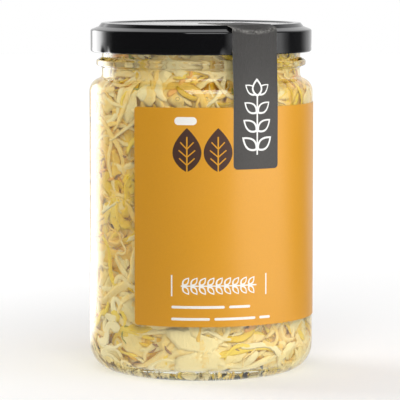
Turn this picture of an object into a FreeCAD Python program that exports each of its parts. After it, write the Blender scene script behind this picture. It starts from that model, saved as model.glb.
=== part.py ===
import FreeCAD, Part
import math
import os

# Jar of sauerkraut, in millimetres. The origin is the centre of the foot, on the surface that
# the jar stands on. +Z is up and -Y is the front. Angles are seen from above, from the front
# round to +X. Outlines are lists of (radius, height, rounding), turned about the jar's axis.

# Glass, outside
BODY_R = 43.4  # the straight wall
BODY_HEIGHT = 111.9  # foot to the sharp corner of wall and shoulder
HEEL_ROUND = 10.0
FOOT_WIDTH = 2.5  # the flat ring that bears on the table
PUNT_HEIGHT = 2.4  # the pushed-up middle of the base
PUNT_SLOPE = 7.0  # radial width of the slope from the foot up to the punt
PUNT_ROUND = 20.0
SHOULDER_ROUND = 5.4
SHOULDER_RISE = 1.7
NECK_INSET = 4.85  # wall radius less neck radius
NECK_ROUND = 1.7
NECK_HEIGHT = 3.9
BEAD_REACH = 2.0  # the moulded ring under the lid, out from the neck
BEAD_FACE = 2.0
BEAD_RISE_BELOW = 0.8
BEAD_RISE_ABOVE = 1.1
BEAD_ROUND = 0.75
FINISH_INSET = 0.15  # neck radius less the radius of the finish that the lid covers
FINISH_HEIGHT = 12.8  # top of the bead to the rim
CROWN_ROUND = 1.1
CROWN_MOST = 0.46  # share of the wall that each side's rounding may take

# Glass, inside
WALL = 2.4
FLOOR_THICKNESS = 4.6  # at the heel
FLOOR_DOME = 1.7  # the punt's rise as it shows inside
HEEL_ROUND_INSIDE = 8.0

# Lid of lacquered tinplate
SHEET = 0.3
LID_OVERHANG = 4.35  # outside of the skirt beyond the finish
SKIRT_ABOVE_BEAD = 2.0
CURL_ROUND = 0.75  # the rolled lower edge
LID_CORNER_ROUND = 0.8
RING_DROP = 1.4  # the ridge stands this far above the ring's inner edge
RING_FALL = 1.2  # the ring falls this much more on its way to the skirt
RIDGE_REACH = 0.1  # outer edge of the ridge beyond the finish
RIDGE_WIDTH = 2.6
RISER_RUN = 1.1
RIDGE_ROUND = 0.35
PANEL_DROP = 0.35
PANEL_SLOPE = 0.5

# Contents
HEADSPACE = 3.6  # rim down to the brine

# Paper label round the wall
LABEL_THICKNESS = 0.15
LABEL_LENGTH = 190.0
LABEL_START = -35.0  # degrees, the left edge
LABEL_CORNER = 1.2
LABEL_ABOVE_HEEL = 11.8
LABEL_BELOW_SHOULDER = 4.0

# Paper seal strip from the lid down onto the label
STRIP_THICKNESS = 0.2
STRIP_WIDTH = 18.9
STRIP_ANGLE = 28.7  # degrees
STRIP_CORNER = 1.5
STRIP_ON_LABEL = 23.2
STRIP_ON_LID = 22.0  # inwards from the ridge
STRIP_STAND_OFF = 0.4  # its fold above the lid's own corner

# Glass heights and radii that follow
neck_r = BODY_R - NECK_INSET
finish_r = neck_r - FINISH_INSET
neck_foot_z = BODY_HEIGHT + SHOULDER_RISE
bead_z = neck_foot_z + NECK_HEIGHT
bead_top_z = bead_z + BEAD_RISE_BELOW + BEAD_FACE + BEAD_RISE_ABOVE
rim_z = bead_top_z + FINISH_HEIGHT
foot_out_r = BODY_R - HEEL_ROUND
foot_in_r = foot_out_r - FOOT_WIDTH
punt_r = foot_in_r - PUNT_SLOPE
bore_r = finish_r - WALL
crown_round = min(CROWN_ROUND, CROWN_MOST * WALL)

# Where the rounded shoulder starts, on the straight wall
shoulder_turn = math.atan2(NECK_INSET, SHOULDER_RISE)
shoulder_start_z = BODY_HEIGHT - SHOULDER_ROUND * math.tan(shoulder_turn / 2)

# Lid heights and radii that follow: its ridge is seated on the rim
lid_top_z = rim_z + SHEET
lid_bottom_z = bead_top_z + SKIRT_ABOVE_BEAD
skirt_r = finish_r + LID_OVERHANG
ridge_r = finish_r + RIDGE_REACH
ring_z = lid_top_z - RING_DROP
skirt_corner_z = ring_z - RING_FALL

# Label and strip
label_r = BODY_R + LABEL_THICKNESS
label_bottom_z = HEEL_ROUND + LABEL_ABOVE_HEEL
label_top_z = shoulder_start_z - LABEL_BELOW_SHOULDER
strip_bottom_z = label_top_z - STRIP_ON_LABEL


def offset(path, distance):
    """The path moved sideways, to its left if distance is positive, with its roundings kept parallel."""
    headings = []
    for (r0, z0, _), (r1, z1, _) in zip(path, path[1:]):
        length = math.hypot(r1 - r0, z1 - z0)
        headings.append(((r1 - r0) / length, (z1 - z0) / length))
    moved = []
    for i, (r, z, rounding) in enumerate(path):
        ur, uz = headings[max(i - 1, 0)]
        vr, vz = headings[min(i, len(headings) - 1)]
        share = distance / (1 + ur * vr + uz * vz)
        if rounding:
            inner_side = distance * (ur * vz - uz * vr) > 0
            rounding += -abs(distance) if inner_side else abs(distance)
        moved.append((r - (uz + vz) * share, z + (ur + vr) * share, rounding))
    return moved


def edges_of(path):
    """Straight runs, with a tangent arc at each rounded corner, along a closed path."""
    points = [FreeCAD.Vector(r, 0, z) for r, z, _ in path]
    edges = []
    at = points[0]
    for i in range(1, len(points) + 1):
        corner = points[i % len(points)]
        rounding = path[i % len(points)][2]
        if not rounding:
            edges.append(Part.LineSegment(at, corner).toShape())
            at = corner
            continue
        back = (points[i - 1] - corner).normalize()
        onward = (points[(i + 1) % len(points)] - corner).normalize()
        half = back.getAngle(onward) / 2
        arc_start = corner + back * (rounding / math.tan(half))
        arc_end = corner + onward * (rounding / math.tan(half))
        middle = corner + (back + onward).normalize() * (rounding / math.sin(half) - rounding)
        edges.append(Part.LineSegment(at, arc_start).toShape())
        edges.append(Part.Arc(arc_start, middle, arc_end).toShape())
        at = arc_end
    return edges


def turned(path, start=0.0, sweep=360.0):
    """The solid that a closed path, whose first corner is sharp, makes when turned about the jar's axis."""
    face = Part.Face(Part.Wire(edges_of(path)))
    axis = FreeCAD.Vector(0, 0, 1)
    face.rotate(FreeCAD.Vector(), axis, start)
    return face.revolve(FreeCAD.Vector(), axis, sweep)


def rounded_slab(width, height, corner, depth):
    """A slab of the given depth along X, centred on the XZ plane, with four rounded corners in YZ."""
    slab = Part.makeBox(depth, width, height, FreeCAD.Vector(0, -width / 2, 0))
    along = [e for e in slab.Edges if abs(e.Vertexes[0].X - e.Vertexes[1].X) > depth / 2]
    return slab.makeFillet(corner, along)


def shoulder():
    """The outside of the glass from the wall over the shoulder to the top of the neck."""
    return [
        (BODY_R, HEEL_ROUND, 0),
        (BODY_R, BODY_HEIGHT, SHOULDER_ROUND),
        (neck_r, neck_foot_z, NECK_ROUND),
        (neck_r, bead_z, BEAD_ROUND),
    ]


def cavity(top_z):
    """The inside of the glass from the middle of the floor up to a height in the bore."""
    dome_z = FLOOR_THICKNESS + FLOOR_DOME
    floor = [
        (0, dome_z, 0),
        (punt_r, dome_z, PUNT_ROUND),
        (foot_in_r, FLOOR_THICKNESS, PUNT_ROUND),
        (BODY_R - WALL, FLOOR_THICKNESS, HEEL_ROUND_INSIDE),
    ]
    return floor + offset(shoulder(), WALL)[1:3] + [(bore_r, bead_z, NECK_ROUND), (bore_r, top_z, 0)]


def glass_jar():
    base = [
        (0, PUNT_HEIGHT, 0),
        (punt_r, PUNT_HEIGHT, PUNT_ROUND),
        (foot_in_r, 0, 0),
        (BODY_R, 0, HEEL_ROUND),
    ]
    bead_r = neck_r + BEAD_REACH
    finish = [
        (bead_r, bead_z + BEAD_RISE_BELOW, BEAD_ROUND),
        (bead_r, bead_z + BEAD_RISE_BELOW + BEAD_FACE, BEAD_ROUND),
        (finish_r, bead_top_z, BEAD_ROUND),
        (finish_r, rim_z, crown_round),
        (bore_r, rim_z, crown_round),
    ]
    inside = cavity(rim_z)[-2::-1]
    return turned(base + shoulder()[1:] + finish + inside)


def sauerkraut():
    level_z = rim_z - HEADSPACE
    return turned(cavity(level_z) + [(0, level_z, 0)])


def lid():
    upper = [
        (0, lid_top_z - PANEL_DROP, 0),
        (ridge_r - RIDGE_WIDTH - PANEL_SLOPE, lid_top_z - PANEL_DROP, RIDGE_ROUND),
        (ridge_r - RIDGE_WIDTH, lid_top_z, RIDGE_ROUND),
        (ridge_r, lid_top_z, RIDGE_ROUND),
        (ridge_r + RISER_RUN, ring_z, RIDGE_ROUND),
        (skirt_r, skirt_corner_z, LID_CORNER_ROUND),
        (skirt_r, lid_bottom_z + CURL_ROUND, 0),
    ]
    sheet = turned(upper + offset(upper, -SHEET)[::-1])
    curl = Part.makeTorus(skirt_r - CURL_ROUND, CURL_ROUND, FreeCAD.Vector(0, 0, lid_bottom_z + CURL_ROUND))
    return sheet.fuse(curl).removeSplitter()


def label():
    section = [
        (BODY_R, label_bottom_z, 0),
        (BODY_R, label_top_z, 0),
        (label_r, label_top_z, 0),
        (label_r, label_bottom_z, 0),
    ]
    wrap = turned(section, start=LABEL_START - 90, sweep=math.degrees(LABEL_LENGTH / BODY_R))
    corners = [e for e in wrap.Edges if abs(e.Length - LABEL_THICKNESS) < LABEL_THICKNESS / 100]
    return wrap.makeFillet(LABEL_CORNER, corners)


def seal_strip():
    strip_end_r = ridge_r - STRIP_ON_LID
    under = [
        (strip_end_r, lid_top_z, 0),
        (ridge_r, lid_top_z, RIDGE_ROUND),
        (skirt_r, skirt_corner_z + STRIP_STAND_OFF, LID_CORNER_ROUND),
        (skirt_r, lid_bottom_z, 0),
        (label_r, shoulder_start_z, 0),
        (label_r, strip_bottom_z, 0),
    ]
    band = turned(under + offset(under, STRIP_THICKNESS)[::-1])
    front = rounded_slab(STRIP_WIDTH, 2 * lid_top_z, STRIP_CORNER, 2 * skirt_r)
    front.translate(FreeCAD.Vector(0, 0, strip_bottom_z))
    plan = rounded_slab(STRIP_WIDTH, 2 * skirt_r, STRIP_CORNER, 2 * lid_top_z)
    plan.rotate(FreeCAD.Vector(), FreeCAD.Vector(0, 1, 0), 90)
    plan.translate(FreeCAD.Vector(strip_end_r, 0, 2 * lid_top_z))
    strip = band.common(front).common(plan)
    strip.rotate(FreeCAD.Vector(), FreeCAD.Vector(0, 0, 1), STRIP_ANGLE - 90)
    return strip


os.makedirs("parts", exist_ok=True)
for make in (glass_jar, sauerkraut, lid, label, seal_strip):
    solids = make().Solids
    if len(solids) != 1 or not solids[0].isValid():
        raise RuntimeError(f"{make.__name__} came out as {len(solids)} solids, or is not valid")
    solids[0].exportStep(f"parts/{make.__name__}.step")
    print(make.__name__, round(solids[0].Volume / 1000, 2), "cubic centimetres")
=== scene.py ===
import bpy
import bmesh
import math
import numpy as np
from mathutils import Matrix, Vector
from mathutils.geometry import delaunay_2d_cdt

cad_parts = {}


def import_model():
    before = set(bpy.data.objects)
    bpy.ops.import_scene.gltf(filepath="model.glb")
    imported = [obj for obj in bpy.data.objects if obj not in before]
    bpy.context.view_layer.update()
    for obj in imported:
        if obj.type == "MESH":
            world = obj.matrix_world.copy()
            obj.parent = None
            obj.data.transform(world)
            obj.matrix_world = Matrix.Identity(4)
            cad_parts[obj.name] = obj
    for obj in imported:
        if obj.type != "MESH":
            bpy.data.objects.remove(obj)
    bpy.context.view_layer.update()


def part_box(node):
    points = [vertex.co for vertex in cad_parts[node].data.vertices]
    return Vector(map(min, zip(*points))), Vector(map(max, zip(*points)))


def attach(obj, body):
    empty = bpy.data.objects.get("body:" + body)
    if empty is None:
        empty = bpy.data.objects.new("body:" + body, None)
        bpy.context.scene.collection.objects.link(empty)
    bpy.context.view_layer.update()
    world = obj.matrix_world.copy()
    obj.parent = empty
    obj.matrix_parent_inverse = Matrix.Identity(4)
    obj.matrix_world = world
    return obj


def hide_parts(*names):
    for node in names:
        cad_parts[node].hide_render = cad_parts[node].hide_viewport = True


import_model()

# Jar of sauerkraut. Shapes are worked out in millimetres in the CAD frame, and meshes are made in
# metres. Angles on the jar run from the front (-Y) round to +X. Wall-space is (angle, distance along
# the inside outline of the glass, depth in from the glass).

MM = 0.001

# Each turned piece's step along its outline in millimetres, points in an arc, and segments round the jar
GLASS_STEP, GLASS_ARC, GLASS_SEGMENTS = 6.0, 9, 384
BRINE_STEP, BRINE_ARC, BRINE_SEGMENTS = 5.0, 8, 192
CORE_STEP, CORE_ARC, CORE_SEGMENTS = 1.1, 9, 300
LID_STEP, LID_SEGMENTS = 1.2, 360


def corner_of(node, which):
    return np.array(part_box(node)[which]) / MM


# Sizes read off the frame
BODY_R, _, RIM_Z = corner_of("glass_jar", 1)
INNER_R, _, LEVEL_Z = corner_of("sauerkraut", 1)
FLOOR_Z = corner_of("sauerkraut", 0)[2]
LID_R, _, LID_TOP_Z = corner_of("lid", 1)
LID_BOTTOM_Z = corner_of("lid", 0)[2]
LABEL_R, _, LABEL_TOP_Z = corner_of("label", 1)
LABEL_BOTTOM_Z = corner_of("label", 0)[2]
STRIP_BOTTOM_Z = corner_of("seal_strip", 0)[2]
STRIP_TOP_Z = corner_of("seal_strip", 1)[2] - 0.005
WALL = BODY_R - INNER_R

# Sizes repeated from the part's source
HEEL_ROUND = 10.0
FOOT_WIDTH = 2.5
PUNT_HEIGHT = 2.4
PUNT_SLOPE = 7.0
PUNT_ROUND = 20.0
BODY_HEIGHT = 111.9
SHOULDER_ROUND = 5.4
SHOULDER_RISE = 1.7
NECK_INSET = 4.85
NECK_ROUND = 1.7
NECK_HEIGHT = 3.9
BEAD_REACH = 2.0
BEAD_FACE = 2.0
BEAD_RISE_BELOW = 0.8
BEAD_RISE_ABOVE = 1.1
BEAD_ROUND = 0.75
FINISH_INSET = 0.15
CROWN_ROUND = 1.1
FLOOR_DOME = 1.7
HEEL_ROUND_INSIDE = 8.0
SHEET = 0.3
CURL_ROUND = 0.75
LID_CORNER_ROUND = 0.8
RING_DROP = 1.4
RING_FALL = 1.2
RIDGE_REACH = 0.1
RIDGE_WIDTH = 2.6
RISER_RUN = 1.1
RIDGE_ROUND = 0.35
PANEL_DROP = 0.35
PANEL_SLOPE = 0.5
LABEL_START = -35.0
LABEL_LENGTH = 190.0
LABEL_CORNER = 1.2
STRIP_THICKNESS = 0.2
STRIP_WIDTH = 18.9
STRIP_ANGLE = 28.7
STRIP_CORNER = 1.5
STRIP_ON_LID = 22.0
STRIP_STAND_OFF = 0.4

neck_r = BODY_R - NECK_INSET
finish_r = neck_r - FINISH_INSET
bore_r = finish_r - WALL
neck_foot_z = BODY_HEIGHT + SHOULDER_RISE
bead_z = neck_foot_z + NECK_HEIGHT
bead_top_z = bead_z + BEAD_RISE_BELOW + BEAD_FACE + BEAD_RISE_ABOVE
foot_out_r = BODY_R - HEEL_ROUND
foot_in_r = foot_out_r - FOOT_WIDTH
punt_r = foot_in_r - PUNT_SLOPE
shoulder_start_z = BODY_HEIGHT - SHOULDER_ROUND * math.tan(math.atan2(NECK_INSET, SHOULDER_RISE) / 2)
ridge_r = finish_r + RIDGE_REACH
ring_z = LID_TOP_Z - RING_DROP
skirt_corner_z = ring_z - RING_FALL


# ---- outlines

def offset(path, distance):
    """The path of (radius, height, rounding) corners moved to its left, its roundings kept parallel."""
    points = np.array(path, float)
    runs = np.diff(points[:, :2], axis=0)
    runs /= np.linalg.norm(runs, axis=1)[:, None]
    moved = []
    for i, (r, z, rounding) in enumerate(path):
        ur, uz = runs[max(i - 1, 0)]
        vr, vz = runs[min(i, len(runs) - 1)]
        share = distance / (1 + ur * vr + uz * vz)
        if rounding:
            inner_side = distance * (ur * vz - uz * vr) > 0
            rounding += -abs(distance) if inner_side else abs(distance)
        moved.append((r - (uz + vz) * share, z + (ur + vr) * share, rounding))
    return moved


def outline(path, run_step, arc_points):
    """Points along a path of corners, with an arc at each rounded corner. Runs are cut into steps of about
    run_step, or if it is a tuple, each run into as many steps as it says."""
    points = [np.array(path[0][:2], float)]

    def run_to(end, run):
        start = points[-1]
        if isinstance(run_step, float):
            cuts = max(1, round(float(np.linalg.norm(end - start)) / run_step))
        else:
            cuts = run_step[run]
        points.extend(start + (end - start) * k / cuts for k in range(1, cuts + 1))

    for i in range(1, len(path)):
        corner = np.array(path[i][:2], float)
        rounding = path[i][2] if i < len(path) - 1 else 0
        if not rounding:
            run_to(corner, i - 1)
            continue
        back = np.array(path[i - 1][:2]) - corner
        onward = np.array(path[i + 1][:2]) - corner
        back /= np.linalg.norm(back)
        onward /= np.linalg.norm(onward)
        half = math.acos(float(np.clip(back @ onward, -1, 1))) / 2
        centre = corner + (back + onward) / np.linalg.norm(back + onward) * rounding / math.sin(half)
        start = corner + back * rounding / math.tan(half) - centre
        end = corner + onward * rounding / math.tan(half) - centre
        run_to(start + centre, i - 1)
        sweep = math.pi - 2 * half
        for k in range(1, arc_points + 1):
            t = k / arc_points
            ray = (start * math.sin((1 - t) * sweep) + end * math.sin(t * sweep)) / math.sin(sweep)
            points.append(centre + ray)
    return np.array(points)


def outside_wall():
    return [
        (BODY_R, HEEL_ROUND, 0),
        (BODY_R, BODY_HEIGHT, SHOULDER_ROUND),
        (neck_r, neck_foot_z, NECK_ROUND),
        (neck_r, bead_z, BEAD_ROUND),
    ]


def inside(top_z):
    """Corners of the inside of the glass, from the middle of the floor up to a height in the bore."""
    dome_z = FLOOR_Z + FLOOR_DOME
    floor = [
        (0, dome_z, 0),
        (punt_r, dome_z, PUNT_ROUND),
        (foot_in_r, FLOOR_Z, PUNT_ROUND),
        (INNER_R, FLOOR_Z, HEEL_ROUND_INSIDE),
    ]
    return floor + offset(outside_wall(), WALL)[1:3] + [(bore_r, bead_z, NECK_ROUND), (bore_r, top_z, 0)]


# ---- meshes

def on_jar(angle, radius, z):
    return np.stack([radius * np.sin(angle), -radius * np.cos(angle), z + 0 * angle], axis=-1)


def new_object(name, data):
    made = bpy.data.objects.new(name, data)
    bpy.context.scene.collection.objects.link(made)
    return made


def make_piece(name, vertices, faces, slot, materials, face_material=None, tone=None, replaces=None):
    """A piece from vertices in millimetres, with its faces turned outwards, riding on the jar."""
    mesh = bpy.data.meshes.new(name)
    mesh.from_pydata((np.asarray(vertices) * MM).tolist(), [], faces)
    for m in materials:
        mesh.materials.append(m)
    if face_material is not None:
        mesh.polygons.foreach_set("material_index", face_material)
    if tone is not None:
        mesh.attributes.new("tone", "FLOAT", "POINT").data.foreach_set("value", tone.astype(np.float32))
    mesh.polygons.foreach_set("use_smooth", [True] * len(mesh.polygons))
    bm = bmesh.new()
    bm.from_mesh(mesh)
    bmesh.ops.recalc_face_normals(bm, faces=bm.faces)
    bm.to_mesh(mesh)
    bm.free()
    mesh.update()
    piece = new_object(name, mesh)
    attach(piece, "root")
    if replaces:
        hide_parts(replaces)
    return piece


def ring_faces(a, b, around):
    """Faces between two rings of points, whose first points are a and b."""
    return [(a + j, a + (j + 1) % around, b + (j + 1) % around, b + j) for j in range(around)]


def band(first, rings, around):
    """Faces between each ring of points and the next."""
    starts = range(first, first + (rings - 1) * around, around)
    return [face for start in starts for face in ring_faces(start, start + around, around)]


def fan(centre, first, around):
    """Faces from one point to a ring round it."""
    return [(centre, first + j, first + (j + 1) % around) for j in range(around)]


def closed(body, first_end, last_end, around):
    """Vertices and faces of rings of points, closed by one point at each end."""
    n = len(body)
    faces = band(0, n // around, around) + fan(n, 0, around) + fan(n + 1, n - around, around)
    return np.vstack([body, [first_end, last_end]]), faces


def away_from(angle, place):
    """How far angles lie from a place, the shorter way round."""
    return np.abs((angle - place + math.pi) % (2 * math.pi) - math.pi)


def lathe(points, segments, shape=None):
    """Vertices and faces of an outline turned about the axis, whose ends both lie on it.
    shape(angle, radius, z) gives the moved radius and z."""
    rings = points[1:-1]
    angle = np.linspace(0, 2 * math.pi, segments, endpoint=False)
    a, r = np.meshgrid(angle, rings[:, 0])
    z = np.repeat(rings[:, 1:], segments, axis=1)
    if shape:
        r, z = shape(a, r, z)
    return closed(on_jar(a, r, z).reshape(-1, 3), (0, 0, points[0][1]), (0, 0, points[-1][1]), segments)


def ripple(angle, height, seed, turns, stretch, count=6):
    """Smooth waves round the jar, about -1 to 1, that meet at the seam. Stretch is in millimetres."""
    rng = np.random.default_rng(seed)
    total = 0 * angle
    for _ in range(count):
        n = rng.integers(1, turns + 1)
        total = total + np.sin(n * angle + height / stretch * rng.uniform(-3, 3) + rng.uniform(0, 7))
    return total / math.sqrt(count) / 1.4


# ---- materials

class Look:
    """A material, or the world, built from nodes. Inputs are given by socket name or number."""

    def __init__(self, name, world=None):
        owner = world or bpy.data.materials.new(name)
        owner.use_nodes = True
        self.owner = owner
        self.tree = owner.node_tree
        self.tree.nodes.clear()
        self.out = self.tree.nodes.new("ShaderNodeOutputWorld" if world else "ShaderNodeOutputMaterial")

    @staticmethod
    def colour(value):
        return value if isinstance(value, bpy.types.NodeSocket) else (*value, 1)

    def node(self, kind, inputs=None, **settings):
        n = self.tree.nodes.new("ShaderNode" + kind)
        for key, value in settings.items():
            setattr(n, key, value)
        for key, value in (inputs or {}).items():
            if isinstance(value, bpy.types.NodeSocket):
                self.tree.links.new(value, n.inputs[key])
            else:
                n.inputs[key].default_value = value
        return n

    def place(self, scale=(1, 1, 1)):
        where = self.node("TexCoord").outputs["Object"]
        return self.node("Mapping", {"Vector": where, "Scale": scale}).outputs[0]

    def noise(self, scale, detail=3.0, roughness=0.55, stretch=(1, 1, 1), distortion=0.0):
        return self.node("TexNoise", {"Vector": self.place(stretch), "Scale": scale, "Detail": detail,
                                      "Roughness": roughness, "Distortion": distortion}).outputs["Fac"]

    def ramp(self, value, stops, smooth=False):
        n = self.node("ValToRGB", {0: value})
        n.color_ramp.interpolation = "EASE" if smooth else "LINEAR"
        while len(n.color_ramp.elements) < len(stops):
            n.color_ramp.elements.new(0.5)
        for element, (at, colour) in zip(n.color_ramp.elements, stops):
            element.position = at
            element.color = (*colour, 1) if hasattr(colour, "__len__") else (colour, colour, colour, 1)
        return n.outputs[0]

    def math(self, operation, a, b=0.0, clamp=False):
        return self.node("Math", {0: a, 1: b}, operation=operation, use_clamp=clamp).outputs[0]

    def add(self, a, b):
        return self.math("ADD", a, b)

    def less(self, a, b):
        return self.math("SUBTRACT", a, b)

    def times(self, a, b):
        return self.math("MULTIPLY", a, b)

    def over(self, a, b):
        return self.math("DIVIDE", a, b)

    def between(self, share, a, b):
        """The number a where the share is 0, and b where it is 1."""
        return self.add(a, self.times(share, self.less(b, a)))

    def choose(self, share, a, b):
        """The shader a where the share is 0, and b where it is 1."""
        return self.node("MixShader", {0: share, 1: a, 2: b}).outputs[0]

    def mix(self, share, a, b):
        ends = {0: share, 6: self.colour(a), 7: self.colour(b)}
        return self.node("Mix", ends, data_type="RGBA").outputs[2]

    def bump(self, height, distance, under=None):
        inputs = {"Height": height, "Distance": distance, "Strength": 1.0}
        if under:
            inputs["Normal"] = under
        return self.node("Bump", inputs).outputs[0]

    def surface(self, shader):
        self.tree.links.new(shader, self.out.inputs["Surface"])
        return self.owner

    def principled(self, **inputs):
        named = {key.replace("_", " "): value for key, value in inputs.items()}
        named["Base Color"] = self.colour(named["Base Color"])
        return self.node("BsdfPrincipled", named).outputs[0]

    def emission(self, strength):
        return self.node("Emission", {"Color": (1, 1, 1, 1), "Strength": strength}).outputs[0]


def clear_look(name, ior, wave, relief, base=(1, 1, 1), tint=(1, 1, 1), absorb=None):
    """A clear stuff with faint waves, which lamps and scattered light reach through unbent. absorb is the
    colour and the density that it takes away."""
    k = Look(name)
    bent = k.principled(Base_Color=base, Roughness=0.0, IOR=ior, Transmission_Weight=1.0,
                        Normal=k.bump(k.noise(*wave), relief))
    if absorb:
        volume = k.node("VolumeAbsorption", {"Color": (*absorb[0], 1), "Density": absorb[1]})
        k.tree.links.new(volume.outputs[0], k.out.inputs["Volume"])
    path = k.node("LightPath").outputs
    unbent = k.node("BsdfTransparent", {"Color": (*tint, 1)}).outputs[0]
    first = k.choose(path["Is Shadow Ray"], bent, unbent)
    return k.surface(k.choose(path["Is Diffuse Ray"], first, unbent))


def kraut_look(name, colours, mottle, scale, relief):
    """Wet cabbage: a colour for each piece from its tone, mottled, with fine fibres in its relief."""
    k = Look(name)
    tone = k.node("Attribute", attribute_name="tone").outputs["Fac"]
    stains = k.noise(scale, 3, 0.6)
    mixed = k.add(tone, k.times(k.less(stains, 0.5), mottle))
    colour = k.ramp(mixed, colours)
    fibres = k.noise(scale * 5, 2, 0.6, (1, 1, 0.35))
    colour = k.mix(k.ramp(fibres, [(0.35, 0.0), (0.75, 0.15)]), colour, (0.97, 0.80, 0.44))
    rough = k.ramp(stains, [(0.3, 0.32), (0.7, 0.5)])
    return k.surface(k.principled(Base_Color=colour, Roughness=rough, Specular_IOR_Level=0.07,
                                  Normal=k.bump(fibres, relief)))


def plain_food_look(name, dark, light, scale, roughness, relief):
    """Food of one colour with a fine grain."""
    k = Look(name)
    grain = k.noise(scale, 4, 0.6)
    return k.surface(k.principled(Base_Color=k.ramp(grain, [(0.3, dark), (0.7, light)]), Roughness=roughness,
                                  Specular_IOR_Level=0.25, Normal=k.bump(grain, relief)))


def lacquer_look():
    k = Look("black_lacquer")
    peel = k.noise(900, 2, 0.5)
    black, dusty = (0.0035, 0.0035, 0.0042), (0.016, 0.016, 0.017)
    dust = k.ramp(k.noise(2600, 2, 0.7), [(0.66, black), (0.82, dusty)])
    smears = k.ramp(k.noise(70, 4, 0.6), [(0.35, 0.05), (0.7, 0.13)])
    return k.surface(k.principled(Base_Color=dust, Roughness=smears, Specular_IOR_Level=0.5,
                                  Normal=k.bump(peel, 0.000006)))


def paper_look(name, colour, roughness, fibre_share, relief, level=0.35):
    """Printed paper: faint fibres in its colour, gloss and relief."""
    k = Look(name)
    fibre = k.noise(1500, 4, 0.65)
    cloud = k.noise(45, 3, 0.5)
    cloudy, darker = ([c * (1 - share * fibre_share) for c in colour] for share in (0.5, 1.0))
    shade = k.mix(k.ramp(cloud, [(0.3, 0.0), (0.7, 0.5)]), colour, cloudy)
    shade = k.mix(k.ramp(fibre, [(0.35, 0.0), (0.75, 1.0)]), shade, darker)
    gloss = k.ramp(cloud, [(0.3, roughness - 0.04), (0.7, roughness + 0.05)])
    swell = k.bump(k.noise(38, 2, 0.45, (1, 1, 0.12)), 0.0004)
    return k.surface(k.principled(Base_Color=shade, Roughness=gloss, Specular_IOR_Level=level,
                                  Normal=k.bump(fibre, relief, swell)))


# ---- glass, brine

def glass_body():
    base = [
        (0, PUNT_HEIGHT, 0),
        (punt_r, PUNT_HEIGHT, PUNT_ROUND),
        (foot_in_r, 0, 0.6),
        (BODY_R, 0, HEEL_ROUND),
    ]
    bead_r = neck_r + BEAD_REACH
    finish = [
        (bead_r, bead_z + BEAD_RISE_BELOW, BEAD_ROUND),
        (bead_r, bead_z + BEAD_RISE_BELOW + BEAD_FACE, BEAD_ROUND),
        (finish_r, bead_top_z, BEAD_ROUND),
        (finish_r, RIM_Z, CROWN_ROUND),
        (bore_r, RIM_Z, CROWN_ROUND),
    ]
    bore_z = RIM_Z - 4  # where the outer outline hands over to the inner one
    corners = base + outside_wall()[1:] + finish + [(bore_r, bore_z, 0)]
    outer = outline(corners, GLASS_STEP, GLASS_ARC)
    inner = outline(inside(bore_z)[::-1], GLASS_STEP, GLASS_ARC)
    points = np.vstack([outer, inner[1:]])
    knurls, knurl_height = 96, 0.04
    seam_relief, seam_width = 0.05, 0.5

    def shape(a, r, z):
        outside = np.zeros(r.shape, bool)
        outside[: len(outer) - 1] = True
        on_wall = np.clip((z - HEEL_ROUND) / 12, 0, 1) * np.clip((shoulder_start_z - 2 - z) / 12, 0, 1)
        swell = 0.16 * ripple(a, z, 5, 5, 22.0) * on_wall
        r = r - np.where(outside, 0, swell)
        # Two mould seams, and a ring of short ridges that the jar stands on
        for seam in (math.radians(76), math.radians(256)):
            away = away_from(a, seam) * r
            seam_here = outside & (z > 4) & (z < bead_z)
            r = r - np.where(seam_here, seam_relief * (1 - np.exp(-(away / seam_width) ** 2)), 0.0)
        ring = np.exp(-(((r - (foot_out_r + 0.6)) / 2.3) ** 4)) * (z < 1.2) * outside
        return r, z + ring * knurl_height * (0.5 - 0.5 * np.cos(knurls * a))

    nearly_white = (0.995, 1.0, 0.995)
    look = clear_look("clear_glass", 1.5, (60, 2, 0.4, (1, 1, 0.35)), 0.00025, nearly_white, nearly_white,
                      ((0.60, 0.84, 0.66), 9.0))
    make_piece("glass_body", *lathe(points, GLASS_SEGMENTS, shape), "glass", [look], replaces="glass_jar")


def brine():
    into_wall = 0.15
    path = offset(inside(LEVEL_Z), -into_wall)
    path[0] = (0, path[0][1], 0)
    curve = outline(path, BRINE_STEP, BRINE_ARC)
    # The level curls up a little where it meets the glass
    top = path[-1][0]
    level = [(top - 0.4, LEVEL_Z - 0.25), (top - 1.0, LEVEL_Z - 0.55), (top - 2.2, LEVEL_Z - 0.8),
             (0, LEVEL_Z - 0.9)]
    look = clear_look("brine", 1.33, (140, 2), 0.00004, tint=(1.0, 1.0, 0.99),
                      absorb=((0.97, 0.86, 0.34), 120.0))
    make_piece("brine", *lathe(np.vstack([curve, level]), BRINE_SEGMENTS), "sauerkraut", [look],
               replaces="sauerkraut")


# ---- wall-space for the contents

wall_curve = outline(inside(LEVEL_Z - 1.5), 0.8, 16)
wall_r, wall_z = wall_curve.T
wall_step = np.linalg.norm(np.diff(wall_curve, axis=0), axis=1)
wall_s = np.concatenate([[0], np.cumsum(wall_step)])
wall_run = np.gradient(wall_curve, wall_s, axis=0)
wall_run /= np.linalg.norm(wall_run, axis=1)[:, None]
wall_in = np.stack([-wall_run[:, 1], wall_run[:, 0]], axis=1)
s_top = float(wall_s[-1])


def s_at(z):
    """Distance along the inside outline, on the wall and neck, of a height."""
    high = wall_z > FLOOR_Z + HEEL_ROUND_INSIDE
    return float(np.interp(z, wall_z[high], wall_s[high]))


def from_wall(angle, s, depth):
    s = np.clip(s, 0, s_top)
    r = np.interp(s, wall_s, wall_r) + depth * np.interp(s, wall_s, wall_in[:, 0])
    z = np.interp(s, wall_s, wall_z) + depth * np.interp(s, wall_s, wall_in[:, 1])
    return on_jar(angle, np.maximum(r, 0.2), z)


def radius_at(s):
    return np.maximum(np.interp(s, wall_s, wall_r), 6.0)


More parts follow.
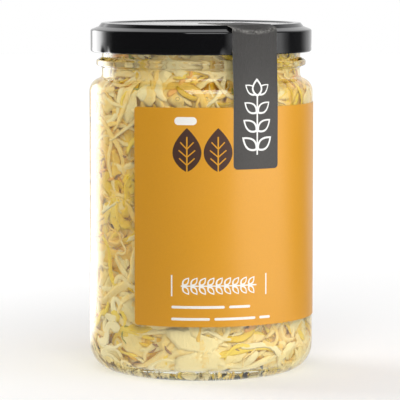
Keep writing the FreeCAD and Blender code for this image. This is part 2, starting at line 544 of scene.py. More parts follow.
def shade_lift_tone(s):
    """Painted light in the tone: creamier low in the jar and in its neck, lifting pieces that lie in shade
    near the floor and under the lid; yellower in the middle.
    """
    z = np.interp(s, wall_s, wall_z)
    # Painted light: low lifts the tone near the floor and high lifts it in the neck under the lid
    low, high = np.clip((48 - z) / 38, 0, 1), np.clip((z - 108) / 8, 0, 1)
    return 0.5 * low + 0.45 * high - 0.14 * np.exp(-((z - 72) / 20) ** 2)


def clump(angle, s, seed):
    return ripple(angle, s, seed, 7, 26.0, 8)


def tone_clump(angle, s):
    return ripple(angle, s, TONE_SEED, TONE_TURNS, TONE_STRETCH, 8)


def turned(x, y, turn, s):
    """The angle round the jar and the distance along the glass that x and y cover when they are turned."""
    return (x * math.cos(turn) - y * math.sin(turn)) / radius_at(s), x * math.sin(turn) + y * math.cos(turn)


NEAR = 0.12  # shreds and leaves come no nearer to the glass than this
SIDES = 6  # of a ribbon's section
FOLD_BACK = 1.7  # what would pass the top is folded back by this much less one
TONE_SEED, TONE_TURNS, TONE_STRETCH = 77, 4, 34.0  # one slow wave of tone through all kinds


def ribbons(name, seed, count, length, width, thick, depth, heading, bend, tones, material, rings=15,
            tone_wave=0.0, first=()):
    """Long cut pieces that lie along the glass, as one mesh. Pairs are a lowest and a highest value. first
    gives some pieces their angle, distance, length, width, depth and heading."""
    rng = np.random.default_rng(seed)
    low, high = 16.0, s_top - 1.5
    s0 = rng.uniform(low, high, count)
    a0 = rng.uniform(-math.pi, math.pi, count)
    run = rng.uniform(*length, count)
    w = rng.uniform(*width, count)
    h = rng.uniform(*thick, count)
    base = rng.uniform(*depth, count) + 0.7 * clump(a0, s0, seed + 1)
    turn = rng.normal(0, heading, count) + np.where(rng.random(count) < 0.5, 0, math.pi)
    for i, given in enumerate(first):
        a0[i], s0[i], run[i], w[i], base[i], turn[i] = given
    u = np.linspace(0, 1, rings)
    bends = rng.normal(0, bend, (3, count))
    sway = (bends[0][:, None] * (u - 0.5) + bends[1][:, None] * np.sin(math.pi * u * 1.5)
            + bends[2][:, None] * np.sin(math.pi * u * 3))
    facing = turn[:, None] + sway
    step = (run / (rings - 1))[:, None]
    s = s0[:, None] + np.cumsum(np.sin(facing) * step, axis=1)
    s = np.maximum(s - FOLD_BACK * np.clip(s - high, 0, None), low - 4)
    a = a0[:, None] + np.cumsum(np.cos(facing) * step / radius_at(s), axis=1)

    def each(low, high):
        return rng.uniform(low, high, count)[:, None]

    into = base[:, None] + each(0, 0.9) * np.sin(u * each(2, 7) + each(0, 7))
    twist = rng.normal(0, 0.3, count)[:, None] + rng.normal(0, 0.6, count)[:, None] * (u - 0.5)
    swell = 0.35 + 0.65 * np.clip(np.minimum(u, 1 - u) * 9, 0, 1) ** 0.5
    wobble = 1 + 0.18 * np.sin(u * each(4, 11) + each(0, 7))
    around = np.arange(SIDES) * 2 * math.pi / SIDES
    across = (w[:, None] * swell * wobble / 2)[:, :, None] * np.cos(around)
    up = (h[:, None] * swell / 2)[:, :, None] * np.sin(around) * 1.15
    ct, st = np.cos(twist)[:, :, None], np.sin(twist)[:, :, None]
    side = across * ct - up * st
    down = across * st + up * ct
    vs = s[:, :, None] + side * np.cos(facing)[:, :, None]
    va = a[:, :, None] - side * np.sin(facing)[:, :, None] / radius_at(s)[:, :, None]
    vd = np.maximum(into[:, :, None] + down, NEAR + 0.1 * (down + h[:, None, None]))
    vertices = from_wall(va, vs, vd).reshape(-1, 3)
    per = rings * SIDES
    faces = []
    for c in range(count):
        o = c * per
        faces.append(tuple(range(o, o + SIDES)))
        faces.append(tuple(range(o + per - SIDES, o + per)))
        faces.extend(band(o, rings, SIDES))
    # The tone adds painted light, paler low in the jar and in its neck where shade falls
    tone = rng.uniform(*tones, count) + tone_wave * tone_clump(a0, s0) + shade_lift_tone(s0)
    make_piece(name, vertices, faces, "sauerkraut", [material], tone=np.repeat(tone, per))


def leaves(name, seed, count, length, width, thick, depth, crumple, tones, material, tone_wave):
    """Broad torn or cut bits of leaf pressed against the glass, as one mesh."""
    rng = np.random.default_rng(seed)
    low, high = 14.0, s_top - 4
    spokes, steps = 16, 4
    vertices, faces, tone = [], [], []
    around = np.arange(spokes) * 2 * math.pi / spokes
    shares = np.linspace(0, 1, steps + 1)[1:]
    for _ in range(count):
        s0, a0 = rng.uniform(low, high), rng.uniform(-math.pi, math.pi)
        half_l, half_w = rng.uniform(*length) / 2, rng.uniform(*width) / 2
        turn, h = rng.uniform(0, math.pi), rng.uniform(*thick)
        edge = 1 + 0.22 * np.sin(2 * around + rng.uniform(0, 7)) * rng.random() + 0.12 * np.sin(
            5 * around + rng.uniform(0, 7)) + rng.normal(0, 0.05, spokes)
        x = np.outer(shares, half_l * np.cos(around) * edge)
        y = np.outer(shares, half_w * np.sin(around) * edge)
        long_wave = np.sin(x * rng.uniform(0.25, 0.6) + rng.uniform(0, 7))
        cross_wave = np.sin(y * rng.uniform(0.4, 0.9) + x * rng.uniform(-0.3, 0.3) + rng.uniform(0, 7))
        waves = crumple * (long_wave + 0.7 * cross_wave)
        rib = 0.5 * np.exp(-(y / 0.8) ** 2)
        base = rng.uniform(*depth) + 0.7 * float(clump(np.array(a0), np.array(s0), seed + 1))
        da, ds = turned(x, y, turn, s0)
        thin = h * (1 - 0.6 * shares[:, None] ** 3)
        s = s0 + ds
        s -= FOLD_BACK * np.clip(s - (s_top - 2), 0, None)
        front = np.maximum(base + waves - rib, NEAR)
        back = np.maximum(base + waves + thin, front + 0.15)
        centre = max(base + crumple * 0.2, NEAR + 0.1)
        o = len(vertices)
        for middle, spread in ((centre, front), (centre + h, back)):
            vertices.append(from_wall(np.array(a0), np.array(min(s0, s_top - 2)), np.array(middle)))
            vertices.extend(from_wall(a0 + da, s, spread).reshape(-1, 3))
        side = 1 + spokes * steps
        for c in (o, o + side):
            faces.extend(fan(c, c + 1, spokes) + band(c + 1, steps, spokes))
        rim = o + 1 + (steps - 1) * spokes
        faces.extend(ring_faces(rim, rim + side, spokes))
        # The tone adds painted light, paler low in the jar and in its neck where shade falls
        value = rng.uniform(*tones) + tone_wave * float(tone_clump(np.array(a0), np.array(s0))) + shade_lift_tone(s0)
        tone.extend([value] * (2 * side))
    make_piece(name, np.array(vertices), faces, "sauerkraut", [material], tone=np.array(tone))


def ball(rings, segments):
    """A unit ball's vertices and faces, its poles along x."""
    lat = np.linspace(0, math.pi, rings + 1)[1:-1]
    lon = np.arange(segments) * 2 * math.pi / segments
    la, lo = np.meshgrid(lat, lon, indexing="ij")
    body = np.stack([np.cos(la), np.sin(la) * np.cos(lo), np.sin(la) * np.sin(lo)], axis=-1).reshape(-1, 3)
    return closed(body, (1, 0, 0), (-1, 0, 0), segments)


def scattered(name, seed, places, sizes, material, segments, bent=0.0):
    """Small rounded things at wall-space places, as one mesh. A size is half the length, width and
    thickness."""
    rng = np.random.default_rng(seed)
    points, ball_faces = ball(8, segments)
    vertices, faces, tone = [], [], []
    for (a0, s0, d0), (sx, sy, sz) in zip(places, sizes):
        turn = rng.uniform(0, 2 * math.pi)
        x, y, zed = points[:, 0] * sx, points[:, 1] * sy, points[:, 2] * sz
        y = y * (1 - 0.25 * points[:, 0] ** 2) + bent * sx * (points[:, 0] ** 2)
        da, ds = turned(x, y, turn, s0)
        o = len(vertices)
        vertices.extend(from_wall(a0 + da, s0 + ds, np.maximum(d0 + zed, 0.05)))
        faces.extend(tuple(o + i for i in f) for f in ball_faces)
        tone.extend([rng.uniform(0.2, 0.8)] * len(points))
    make_piece(name, np.array(vertices), faces, "sauerkraut", [material], tone=np.array(tone))


def kraut_colours(low, middle, high, at=0.5):
    """Colours of one kind of cabbage, from its darkest pieces to its palest."""
    return [(0.0, low), (at, middle), (1.0, high)]


PALE = kraut_colours((0.90, 0.53, 0.07), (0.96, 0.63, 0.15), (0.98, 0.82, 0.46), 0.45)
YELLOW = kraut_colours((0.78, 0.46, 0.008), (0.88, 0.55, 0.015), (0.95, 0.68, 0.08))
LEAFY = kraut_colours((0.85, 0.49, 0.035), (0.95, 0.60, 0.10), (0.98, 0.80, 0.40), 0.4)
PACKED = kraut_colours((0.80, 0.46, 0.012), (0.90, 0.55, 0.035), (0.96, 0.66, 0.13))


def kraut_core():
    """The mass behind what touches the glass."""
    gap = 2.0
    path = offset(inside(LEVEL_Z - 2.0), gap)
    path[0] = (0, FLOOR_Z + FLOOR_DOME + gap, 0)
    ends = (0, len(path) - 1)
    path = [(r, z, 0 if i in ends else max(rounding, 0.5)) for i, (r, z, rounding) in enumerate(path)]
    curve = outline(path, CORE_STEP, CORE_ARC)
    top = curve[-1]
    level = [(top[0] * share, top[1] + 0.2) for share in (0.85, 0.6, 0.3)]
    points = np.vstack([curve, level, [(0, top[1] + 0.2)]])

    def shape(a, r, z):
        lumps = 0.7 * ripple(a, z, 11, 17, 9.0, 12) + 0.4 * ripple(a, z, 12, 60, 3.5, 12)
        lumps = np.where(r > 6, lumps, 0)
        return r - 0.4 + lumps, z + 0.2 * lumps

    vertices, faces = lathe(points, CORE_SEGMENTS, shape)
    angle = np.arctan2(vertices[:, 0], -vertices[:, 1])
    tone = 0.5 + 0.25 * ripple(angle, vertices[:, 2], TONE_SEED, TONE_TURNS, TONE_STRETCH)
    make_piece("kraut_core", vertices, faces, "sauerkraut",
               [kraut_look("cabbage_packed", PACKED, 0.9, 260, 0.0004)], tone=tone)


def cabbage():
    leaves("cabbage_leaves", 21, 760, (7, 18), (5, 12), (0.35, 0.7), (0.5, 2.5), 0.36, (0.2, 0.9),
           kraut_look("cabbage_leaf", LEAFY, 0.7, 330, 0.0002), 0.2)
    ribbons("cabbage_shreds_pale", 31, 800, (14, 46), (1.7, 4.4), (0.6, 1.3), (0.6, 2.8), 0.75, 0.5,
            (0.15, 1.0), kraut_look("cabbage_pale", PALE, 0.6, 420, 0.00015), tone_wave=0.15)
    # A clump of broad yellow shreds left of the label's middle
    clumped = [(math.radians(-60 + 2.6 * k), s_at(53 + 4.5 * (k % 4) + 0.5 * k), 13.0 + k % 3, 4.4,
                0.4 + 0.25 * (k % 3), 1.1 + 0.22 * (k % 5)) for k in range(9)]
    ribbons("cabbage_shreds_yellow", 41, 340, (12, 34), (1.5, 4.0), (0.5, 1.1), (0.8, 2.8), 0.9, 0.55,
            (0.1, 1.0), kraut_look("cabbage_yellow", YELLOW, 0.6, 420, 0.00015), tone_wave=0.2, first=clumped)
    ribbons("cabbage_threads", 51, 120, (7, 22), (0.7, 1.5), (0.4, 0.7), (0.2, 1.2), 1.2, 0.9, (0.2, 1.0),
            kraut_look("cabbage_thread", PALE, 0.5, 500, 0.0001), rings=11)


def carrot_and_green():
    carrot = plain_food_look("carrot", (0.80, 0.34, 0.04), (0.90, 0.48, 0.10), 500, 0.35, 0.0001)
    # Angle and height on the wall, length, width, depth and heading of the slivers that show in front
    shown = ((-17.5, 107.0, 10.0, 2.3, 0.35, 1.15), (-9.5, 114.5, 6.0, 1.5, 0.6, 1.4),
             (23, 19, 5.0, 2.6, 0.3, 0.9), (36, 20, 6.0, 2.0, 0.3, 1.7),
             (-62, 76, 7.0, 1.6, 0.3, 0.2), (-10, 24, 7.0, 1.8, 0.5, 0.35))
    slivers = [(math.radians(degrees), s_at(z), *rest) for degrees, z, *rest in shown]
    ribbons("carrot_shreds", 61, 46, (5, 17), (0.8, 1.7), (0.6, 1.0), (0.3, 1.4), 1.0, 0.5, (0, 1), carrot,
            rings=11, first=slivers)
    green = plain_food_look("cabbage_green_edge", (0.26, 0.26, 0.03), (0.50, 0.46, 0.08), 500, 0.4, 0.0001)
    ribbons("cabbage_green_bits", 71, 60, (3, 10), (0.7, 2.2), (0.3, 0.6), (0.3, 1.3), 1.2, 0.5, (0, 1),
            green, rings=9)


def seeds_and_bubbles():
    rng = np.random.default_rng(81)

    def any_angle():
        return rng.uniform(-math.pi, math.pi)

    seeds = 90
    places = [(any_angle(), rng.uniform(18, s_top - 6), rng.uniform(0.55, 1.1)) for _ in range(seeds)]
    sizes = [(rng.uniform(1.9, 2.7), rng.uniform(0.45, 0.62), rng.uniform(0.4, 0.55)) for _ in range(seeds)]
    skin = plain_food_look("caraway_skin", (0.30, 0.15, 0.055), (0.48, 0.28, 0.12), 1600, 0.5, 0.00012)
    scattered("caraway_seeds", 82, places, sizes, skin, 10, bent=0.2)

    under_shoulder = [(any_angle(), s_at(rng.uniform(105, 127))) for _ in range(90)]
    elsewhere = [(any_angle(), rng.uniform(30, s_top - 20)) for _ in range(120)]
    places = under_shoulder + elsewhere
    radii = 0.25 + 0.75 * rng.random(len(places)) ** 2.5
    sizes = [(radius, radius, radius * 0.8) for radius in radii]
    places = [(a, s, NEAR + size[2]) for (a, s), size in zip(places, sizes)]
    air = clear_look("air_in_brine", 0.752, (900, 1), 0.00003)
    scattered("air_bubbles", 83, places, sizes, air, 12)


# ---- lid

def lid_shell():
    upper = [
        (0, LID_TOP_Z - PANEL_DROP, 0),
        (ridge_r - RIDGE_WIDTH - PANEL_SLOPE, LID_TOP_Z - PANEL_DROP, RIDGE_ROUND),
        (ridge_r - RIDGE_WIDTH, LID_TOP_Z, RIDGE_ROUND),
        (ridge_r, LID_TOP_Z, RIDGE_ROUND),
        (ridge_r + RISER_RUN, ring_z, RIDGE_ROUND),
        (LID_R, skirt_corner_z, LID_CORNER_ROUND),
        (LID_R, LID_BOTTOM_Z + CURL_ROUND, 0),
    ]
    outer = outline(upper, LID_STEP, 8)
    turns = np.linspace(0, -1.35 * math.pi, 20)[1:]
    centre = np.array([LID_R - CURL_ROUND, LID_BOTTOM_Z + CURL_ROUND])
    curl = centre + CURL_ROUND * np.stack([np.cos(turns), np.sin(turns)], axis=1)
    lower = offset(upper, -SHEET)[::-1]
    start = (lower[0][0], lower[0][1] + CURL_ROUND + 0.3, 0)
    inner = outline([start] + lower[1:], LID_STEP, 6)
    points = np.vstack([outer, curl, inner])
    lug_angles = np.radians([14 + 72 * k for k in range(5)])

    def shape(a, r, z):
        low = np.clip((LID_BOTTOM_Z + 3.4 - z) / 3.0, 0, 1) ** 1.5 * (r > LID_R - 2.5)
        for lug in lug_angles:
            away = away_from(a, lug) * LID_R
            r = r - 0.42 * low * np.exp(-(away / 2.6) ** 4)
        r = r - 0.03 * np.abs(ripple(a, z, 9, 9, 60.0)) * (r > 10)
        return r, z

    make_piece("lid_shell", *lathe(points, LID_SEGMENTS, shape), "lid_lacquer", [lacquer_look()],
               replaces="lid")


# ---- paper

def rounded_box(u0, v0, u1, v1, radius, steps=5):
    quarter = np.linspace(0, math.pi / 2, steps + 1)
    centres = ((u1 - radius, v0 + radius, -90), (u1 - radius, v1 - radius, 0),
               (u0 + radius, v1 - radius, 90), (u0 + radius, v0 + radius, 180))
    return [(cu + radius * math.cos(turn), cv + radius * math.sin(turn))
            for cu, cv, start in centres for turn in math.radians(start) + quarter]


def leaf_outline(u, v, length, width, tilt, steps=10):
    """A pointed oval from its lower end at (u, v), tilt in degrees from upright towards +u."""
    t = np.linspace(0, 1, steps + 1)
    half = width / 2 * np.sin(math.pi * t ** 0.85) ** 0.9
    side = np.concatenate([half, -half[-2:0:-1]])
    along = np.concatenate([t, t[-2:0:-1]]) * length
    c, s = math.cos(math.radians(tilt)), math.sin(math.radians(tilt))
    return [(u + x * c + y * s, v - x * s + y * c) for x, y in zip(side, along)]


def stroke(u0, v0, u1, v1, width):
    run = np.array([u1 - u0, v1 - v0], float)
    out = np.array([-run[1], run[0]]) / np.linalg.norm(run) * width / 2
    a, b = np.array([u0, v0]), np.array([u1, v1])
    return [tuple(p) for p in (a - out, b - out, b + out, a + out)]


def within(points, polygon):
    """Which points lie in a polygon."""
    poly = np.array(polygon)
    x, y = points[:, 0], points[:, 1]
    found = np.zeros(len(points), bool)
    for (x0, y0), (x1, y1) in zip(poly, np.roll(poly, -1, axis=0)):
        crosses = (y0 > y) != (y1 > y)
        with np.errstate(divide="ignore", invalid="ignore"):
            at = x0 + (y - y0) * (x1 - x0) / (y1 - y0)
        found ^= crosses & (x < at)
    return found


def paper_sheet(name, sheet_edge, u_lines, v_lines, prints, to_jar, slot, materials, replaces):
    """A thin sheet with printed fields cut into its outer face. prints are (polygon, material number), and
    later ones lie on top. to_jar(u, v, outer) places points. EDGE is also its back."""
    edge = np.array(sheet_edge)
    (u0, v0), (u1, v1) = edge.min(0), edge.max(0)
    points, loops = [], []

    def add(polygon, closed=True):
        o = len(points)
        points.extend(Vector((float(u), float(v))) for u, v in polygon)
        loops.extend((o + k, o + k + 1) for k in range(len(polygon) - 1))
        if closed:
            loops.append((o + len(polygon) - 1, o))

    add(sheet_edge)
    for polygon, _ in prints:
        add(polygon)
    for u in u_lines:
        add([(u, v0), (u, v1)], closed=False)
    for v in v_lines:
        add([(u0, v), (u1, v)], closed=False)
    flat, _, triangles = delaunay_2d_cdt(points, loops, [], 0, 1e-5)[:3]
    flat = np.array([tuple(p) for p in flat])
    triangles = np.array([tuple(t) for t in triangles])
    centres = flat[triangles].mean(axis=1)
    keep = within(centres, sheet_edge)
    triangles, centres = triangles[keep], centres[keep]
    used, triangles = np.unique(triangles, return_inverse=True)
    triangles = triangles.reshape(-1, 3)
    flat = flat[used]
    kind = np.full(len(triangles), GROUND)
    for polygon, number in prints:
        kind[within(centres, polygon)] = number
    pairs = np.vstack([triangles[:, [0, 1]], triangles[:, [1, 2]], triangles[:, [2, 0]]])
    sides = {}
    for pair in np.sort(pairs, axis=1).tolist():
        sides[tuple(pair)] = sides.get(tuple(pair), 0) + 1
    rim = [pair for pair, found in sides.items() if found == 1]
    n = len(flat)
    vertices = np.vstack([to_jar(flat[:, 0], flat[:, 1], True), to_jar(flat[:, 0], flat[:, 1], False)])
    faces = triangles.tolist() + (triangles[:, ::-1] + n).tolist() + [(a, b, b + n, a + n) for a, b in rim]
    numbers = kind.tolist() + [EDGE] * (len(triangles) + len(rim))
    piece = make_piece(name, vertices, faces, slot, materials, face_material=numbers, replaces=replaces)
    hard = {tuple(sorted(e)) for e in rim} | {(a + n, b + n) for a, b in rim}
    for e in piece.data.edges:
        if tuple(sorted(e.vertices)) in hard:
            e.use_edge_sharp = True


# Material numbers of a printed sheet
GROUND, EDGE, WHITE, BROWN = 0, 1, 2, 3


def label_wrap():
    start = math.radians(LABEL_START) * BODY_R
    orange = paper_look("label_orange", (0.73, 0.332, 0.015), 0.35, 0.05, 0.000012, 0.55)
    edge = paper_look("label_cut_edge", (0.80, 0.70, 0.55), 0.7, 0.12, 0.00002)
    white = paper_look("label_white", (0.93, 0.91, 0.86), 0.42, 0.05, 0.000012)
    brown = paper_look("label_brown", (0.075, 0.035, 0.024), 0.42, 0.12, 0.000012)
    prints = [(rounded_box(-10.0, 97.6, -1.6, 100.6, 1.45), WHITE)]
    # Two upright leaves side by side
    for u in (-5.3, 6.4):
        prints.append((leaf_outline(u, 80.0, 16.5, 10.9, 0, 16), BROWN))
        prints.append((stroke(u, 79.0, u, 93.2, 0.55), GROUND))
        for k, v in enumerate((82.6, 85.6, 88.6)):
            reach = (2.9, 3.1, 2.5)[k]
            for side in (-1, 1):
                prints.append((stroke(u, v, u + side * reach, v + 2.6, 0.45), GROUND))
    # A row of small leaves between two end bars
    line = 0.55
    for u in (-11.1, 25.8):
        prints.append((stroke(u, 33.4, u, 41.4, line), WHITE))
    stem_v = 37.3
    prints.append((stroke(-7.6, stem_v, 21.6, stem_v, 0.5), WHITE))
    for k in range(9):
        u = -7.0 + 3.15 * k
        for tilt in (38, 142):
            prints.append((leaf_outline(u, stem_v, 4.1, 2.3, tilt), WHITE))
            u_in = u + 0.85 * math.sin(math.radians(tilt))
            v_in = stem_v + 0.85 * math.cos(math.radians(tilt))
            prints.append((leaf_outline(u_in, v_in, 2.6, 1.25, tilt), GROUND))
    # Two rows of short rules
    rows = ((29.3, ((-11.2, 8.9), (10.6, 19.0))), (24.8, ((-11.3, 3.3), (5.0, 21.2), (22.9, 27.7))))
    for v, runs in rows:
        for a, b in runs:
            prints.append((rounded_box(a, v - 0.5, b, v + 0.5, 0.45, 3), WHITE))
    sheet_edge = rounded_box(start, LABEL_BOTTOM_Z, start + LABEL_LENGTH, LABEL_TOP_Z, LABEL_CORNER)
    columns = np.arange(start + 1.0, start + LABEL_LENGTH - 0.5, math.radians(1.5) * BODY_R)

    def to_jar(u, v, outer):
        angle = u / BODY_R
        lift = 0.0
        if outer:
            # The two ends stand a hair off the glass
            from_end = np.minimum(u - start, start + LABEL_LENGTH - u)
            lift = 0.02 * np.exp(-from_end / 1.5)
        radius = (LABEL_R - 0.02 + lift) if outer else BODY_R - 0.02
        return on_jar(angle, radius + 0 * u, v)

    paper_sheet("label_wrap", sheet_edge, columns, (), prints, to_jar, "label_paper",
                [orange, edge, white, brown], "label")


STRIP_CUTS = (24, 10, 20, 24, 44)  # steps of the strip's five runs, from the lid's top down
FOLD_RISE = 1.5  # the strip's fold over the lid's corner rises this much towards its sides


def seal_band():
    half = STRIP_WIDTH / 2
    samples_t = np.linspace(-half, half, 41)
    end_r = ridge_r - STRIP_ON_LID

    def path_at(t):
        rise = FOLD_RISE * (t / half) ** 2
        fold_z = skirt_corner_z + STRIP_STAND_OFF - 0.35 + rise
        path = [
            (end_r, LID_TOP_Z, 0),
            (ridge_r - 0.3 * rise, LID_TOP_Z, 1.0),
            (LID_R - 0.05 - 0.12 * rise, fold_z, 0.6),
            (LID_R, LID_BOTTOM_Z + 0.2, 1.2),
            (LABEL_R, shoulder_start_z + 1.0, 2.5),
            (LABEL_R, STRIP_BOTTOM_Z, 0),
        ]
        return outline(path, STRIP_CUTS, 9)

    paths = np.array([path_at(t) for t in samples_t])
    middle = paths[len(samples_t) // 2]
    lengths = np.concatenate([[0], np.cumsum(np.linalg.norm(np.diff(middle, axis=0), axis=1))])
    total = float(lengths[-1])
    runs = np.gradient(paths, axis=1)
    runs /= np.linalg.norm(runs, axis=2)[:, :, None]
    outward = np.stack([-runs[:, :, 1], runs[:, :, 0]], axis=2)

    def look_up(table, t, i):
        ft = np.interp(t, samples_t, np.arange(len(samples_t)))
        t0 = np.clip(ft.astype(int), 0, len(samples_t) - 2)
        i0 = np.clip(i.astype(int), 0, table.shape[1] - 2)
        wt, wi = (ft - t0)[:, None], (i - i0)[:, None]
        return ((table[t0, i0] * (1 - wt) + table[t0 + 1, i0] * wt) * (1 - wi)
                + (table[t0, i0 + 1] * (1 - wt) + table[t0 + 1, i0 + 1] * wt) * wi)

    axis_angle = math.radians(STRIP_ANGLE)
    ahead = np.array([math.sin(axis_angle), -math.cos(axis_angle), 0])
    across = np.array([math.cos(axis_angle), math.sin(axis_angle), 0])

    def to_jar(u, v, outer):
        # v counts up from the lower end, and the path down from the lid's top
        along = total - v
        i = np.interp(along, lengths, np.arange(len(lengths)))
        at, out = look_up(paths, u, i), look_up(outward, u, i)
        z_here = at[:, 1]
        fold = np.exp(-(((z_here - skirt_corner_z) / 2.6) ** 2))
        free = np.clip((z_here - shoulder_start_z) / 3, 0, 1) * np.clip((LID_BOTTOM_Z - z_here) / 3, 0, 1)
        crinkle = (0.05 * np.sin(u * 2.1 + 1.0) + 0.04 * np.sin(u * 3.7 + along * 0.8)) * fold
        crinkle = crinkle + 0.10 * free * np.sin(u * 0.55 + along * 0.25)
        lift = (STRIP_THICKNESS - 0.02 + crinkle) if outer else (-0.02 + np.minimum(crinkle, 0))
        r = at[:, 0] + out[:, 0] * lift
        z = np.minimum(at[:, 1] + out[:, 1] * lift, STRIP_TOP_Z)
        reach = np.sqrt(np.maximum(r ** 2 - u ** 2, 0.01))
        return ahead * reach[:, None] + across * u[:, None] + np.array([0, 0, 1.0]) * z[:, None]

    def at_height(z):
        """Distance up from the lower end, of a height on the label or below the lid."""
        low = middle[:, 1] < LID_BOTTOM_Z + 8
        return float(total - np.interp(-z, -middle[low, 1], lengths[low]))

    grey = seal_look("seal_grey")
    edge = paper_look("seal_cut_edge", (0.42, 0.40, 0.37), 0.7, 0.15, 0.00002)
    white = paper_look("seal_white", (0.90, 0.89, 0.86), 0.5, 0.06, 0.000012)
    prints = []
    base_v, tip_v = at_height(86.2), at_height(114.8)
    prints.append((stroke(0, base_v, 0, tip_v - 3.0, 0.62), WHITE))
    pairs, tilt, inset = 4, 52, 0.95
    gap = (tip_v - base_v - 8.0) / (pairs - 1)
    for k in range(pairs):
        v = base_v + 1.8 + gap * k
        size = 1.0 - 0.07 * k
        for side in (-1, 1):
            prints.append((leaf_outline(0, v, 7.9 * size, 4.6 * size, tilt * side, 14), WHITE))
        for side in (-1, 1):
            u_in = inset * math.sin(math.radians(tilt * side))
            v_in = v + inset * math.cos(math.radians(tilt))
            prints.append((leaf_outline(u_in, v_in, 5.9 * size, 3.1 * size, tilt * side, 14), GROUND))
    prints.append((leaf_outline(0, tip_v - 7.0, 7.0, 4.4, 0, 14), WHITE))
    prints.append((leaf_outline(0, tip_v - 6.0, 4.9, 3.0, 0, 14), GROUND))
    sheet_edge = rounded_box(-half, 0, half, total, STRIP_CORNER)
    u_lines = np.linspace(-half, half, 27)[1:-1]
    v_lines = [total - x for x in lengths[1:-1:2]]
    paper_sheet("seal_band", sheet_edge, u_lines, v_lines, prints, to_jar, "seal_paper",
                [grey, edge, white], "seal_strip")


def seal_look(name):
    """Uncoated dark paper with a fine upright rib. Its colour holds painted light: painted shade darkens its
    upper part towards the lid's top, its rib crests are painted paler as highlights, and a painted highlight
    runs along its fold over the lid.
    """
    k = Look(name)
    fibre = k.noise(1400, 4, 0.65)
    where = k.node("SeparateXYZ", {0: k.node("TexCoord").outputs["Object"]}).outputs
    angle = math.radians(STRIP_ANGLE)
    rib_pitch, rib_wander = 0.00052, 0.0014
    ribbed_from, ribbed_rise = 0.104, 0.032
    across = k.add(k.times(where[0], math.cos(angle)), k.times(where[1], math.sin(angle)))
    phase = k.times(k.add(across, k.times(fibre, rib_wander)), 2 * math.pi / rib_pitch)
    ribs = k.math("SINE", phase)
    height = k.over(k.less(where[2], ribbed_from), ribbed_rise)
    upper = k.ramp(height, [(0.0, 0.0), (0.5, 0.7), (1.0, 1.0)])
    rib_height = k.times(ribs, upper)
    base = k.mix(k.ramp(fibre, [(0.35, 0.0), (0.75, 1.0)]), (0.056, 0.052, 0.048), (0.044, 0.041, 0.038))
    # Painted shade: the upper part, over the neck and on the lid, is darkened
    base = k.mix(k.times(upper, 0.85), base, (0.022, 0.021, 0.020))
    # Painted highlight: the rib crests are painted paler
    base = k.mix(k.times(k.add(rib_height, 1.0), 0.06), base, (0.22, 0.21, 0.195))
    # A painted highlight runs along the fold, which is higher at the strip's sides, broken into patches by
    # noise
    half = STRIP_WIDTH / 2 * MM
    rise = k.times(k.math("POWER", k.over(k.math("ABSOLUTE", across), half), 2.0), FOLD_RISE * MM)
    drop = k.math("ABSOLUTE", k.less(k.less(where[2], (skirt_corner_z + 0.1) * MM), rise))
    fold_highlight = k.ramp(k.over(drop, 0.0011), [(0.0, 1.0), (1.0, 0.0)])
    fold_highlight = k.times(fold_highlight, k.ramp(k.noise(900, 3, 0.7), [(0.38, 0.0), (0.62, 0.75)]))
    base = k.mix(fold_highlight, base, (0.33, 0.32, 0.30))
    bump = k.bump(rib_height, 0.00003, k.bump(fibre, 0.00002))
    return k.surface(k.principled(Base_Color=base, Roughness=k.ramp(fibre, [(0.3, 0.5), (0.7, 0.62)]),
                                  Specular_IOR_Level=0.35, Normal=bump))


glass_body()
brine()
kraut_core()
cabbage()
carrot_and_green()
seeds_and_bubbles()
lid_shell()
label_wrap()
seal_band()


# ---- stage, light, camera

def studio_round(k, x, y):
    """What gloss sees round the jar at table height, by the way it looks: dark in front, the large softbox at
    the right, white behind, and the bright strip lamp at the left back."""
    azimuth = k.math("ARCTAN2", x, k.times(y, -1.0))
    share = k.add(k.over(azimuth, 2 * math.pi), 0.5)
    brightest = 5.0
    levels = ((-180, 0.9), (-158, 0.9), (-150, brightest), (-130, brightest), (-122, 2.4), (-114, 0.5),
              (-104, 0.07), (24, 0.06), (36, 1.9), (90, 1.9), (97, 0.7), (105, 0.08), (126, 0.10), (142, 0.8),
              (156, 1.0), (180, 0.9))
    stops = [((a + 180) / 360, level / brightest) for a, level in levels]
    return k.times(k.ramp(share, stops), brightest)


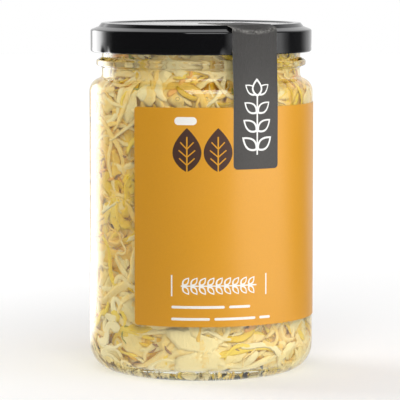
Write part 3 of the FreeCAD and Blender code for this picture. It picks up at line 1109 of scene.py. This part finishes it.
def floor():
    radius, corners = 3.0, 96
    just_below = -0.0001
    mesh = bpy.data.meshes.new("floor")
    around = np.linspace(0, 2 * math.pi, corners, endpoint=False)
    rim = [(radius * math.cos(t), radius * math.sin(t), just_below) for t in around]
    mesh.from_pydata(rim, [], [tuple(range(corners))])
    piece = new_object("floor", mesh)
    k = Look("floor_pale")
    path = k.node("LightPath").outputs
    grain = k.noise(300, 2)
    paint = k.principled(Base_Color=k.ramp(grain, [(0.3, (0.75, 0.75, 0.75)), (0.7, (0.77, 0.77, 0.77))]),
                         Roughness=0.9, Specular_IOR_Level=0.1)
    here = k.node("TexCoord").outputs["Object"]
    where = k.node("SeparateXYZ", {0: here}).outputs
    away = k.node("VectorMath", {0: here}, operation="LENGTH").outputs["Value"]
    # Seen directly, the floor keeps the shadow near the jar and turns white further off
    lift = k.ramp(k.over(away, 1.5), [(0.03, 0.24), (0.3, 0.5), (1.0, 0.9)])
    bright = k.node("AddShader", {0: paint, 1: k.emission(lift)}).outputs[0]
    # Gloss sees the pale floor close to the jar, and the studio round it further off
    close = k.ramp(k.over(away, 0.3), [(0.25, 1.0), (0.7, 0.0)])
    mirror = k.emission(k.between(close, studio_round(k, where[0], where[1]), 0.8))
    # A painted glow: for scattered rays the floor glows under the jar, standing in for light that the glass
    # foot leads there, and brightens the contents from below
    under = k.ramp(k.over(away, 0.3), [(0.14, 0.5), (0.22, 0.0)])
    lit = k.node("AddShader", {0: paint, 1: k.emission(under)}).outputs[0]
    shader = k.choose(path["Is Diffuse Ray"], paint, lit)
    shader = k.choose(path["Is Glossy Ray"], shader, mirror)
    shader = k.choose(path["Is Transmission Ray"], shader, k.emission(0.9))
    k.surface(k.choose(path["Is Camera Ray"], shader, bright))
    mesh.materials.append(k.owner)


def world():
    scene_world = bpy.data.worlds.new("studio")
    bpy.context.scene.world = scene_world
    k = Look("studio", scene_world)
    path = k.node("LightPath").outputs
    way = k.node("SeparateXYZ", {0: k.node("TexCoord").outputs["Generated"]}).outputs
    # Gloss sees a dark front and a white back from above, and the studio round the jar lower down
    backwards = k.add(k.times(way[1], 0.5), 0.5)
    behind = k.ramp(backwards, [(0.0, 0.05), (0.60, 0.08), (0.82, 1.0)], smooth=True)
    high = k.ramp(way[2], [(0.15, 0.0), (0.4, 1.0)], smooth=True)
    mirrored = k.between(high, studio_round(k, way[0], way[1]), behind)
    # Scattered light comes mostly from behind and a little from the right
    back = k.times(k.math("MAXIMUM", way[1], 0.0), 0.55)
    ambient = k.math("ADD", k.times(way[0], 0.2), k.add(back, 0.11), clamp=True)
    soft = k.between(path["Is Glossy Ray"], ambient, mirrored)
    seen = k.math("MAXIMUM", path["Is Camera Ray"], path["Is Transmission Ray"])
    level = k.add(k.times(soft, k.less(1.0, seen)), seen)
    k.surface(k.node("Background", {"Color": (1, 1, 1, 1), "Strength": level}).outputs[0])


def softbox(name, azimuth, elevation, distance, width, height, radiance, glossy=True):
    """A rectangular lamp aimed at the jar's middle. Azimuth is from the front round to +X."""
    lamp = bpy.data.lights.new(name, "AREA")
    lamp.shape = "RECTANGLE"
    lamp.size, lamp.size_y = width, height
    lamp.energy = radiance * math.pi * width * height
    holder = new_object(name, lamp)
    a, e = math.radians(azimuth), math.radians(elevation)
    target = Vector((0, 0, 0.07))
    towards = Vector((math.sin(a) * math.cos(e), -math.cos(a) * math.cos(e), math.sin(e)))
    holder.location = target + distance * towards
    holder.rotation_euler = (target - holder.location).to_track_quat("-Z", "Y").to_euler()
    holder.visible_camera = False
    holder.visible_glossy = glossy
    holder.visible_transmission = False


floor()
world()
softbox("right_softbox", 60, 18, 1.2, 1.1, 0.9, 2.3)
softbox("front_top", 6, 38, 1.2, 0.8, 0.7, 4.5)
softbox("left_back_strip", -119, 18, 1.2, 0.8, 0.9, 5.1, glossy=False)

camera = bpy.data.cameras.new("camera")
camera.sensor_width = 36
camera.lens = 238.15
camera.clip_start = 0.01
camera_holder = new_object("camera", camera)
camera_holder.location = (-0.0004, -1.0249, 0.1636)
camera_holder.rotation_euler = (math.radians(90 - 5.466), 0, 0)
bpy.context.scene.camera = camera_holder
bpy.context.scene.view_settings.view_transform = "Standard"
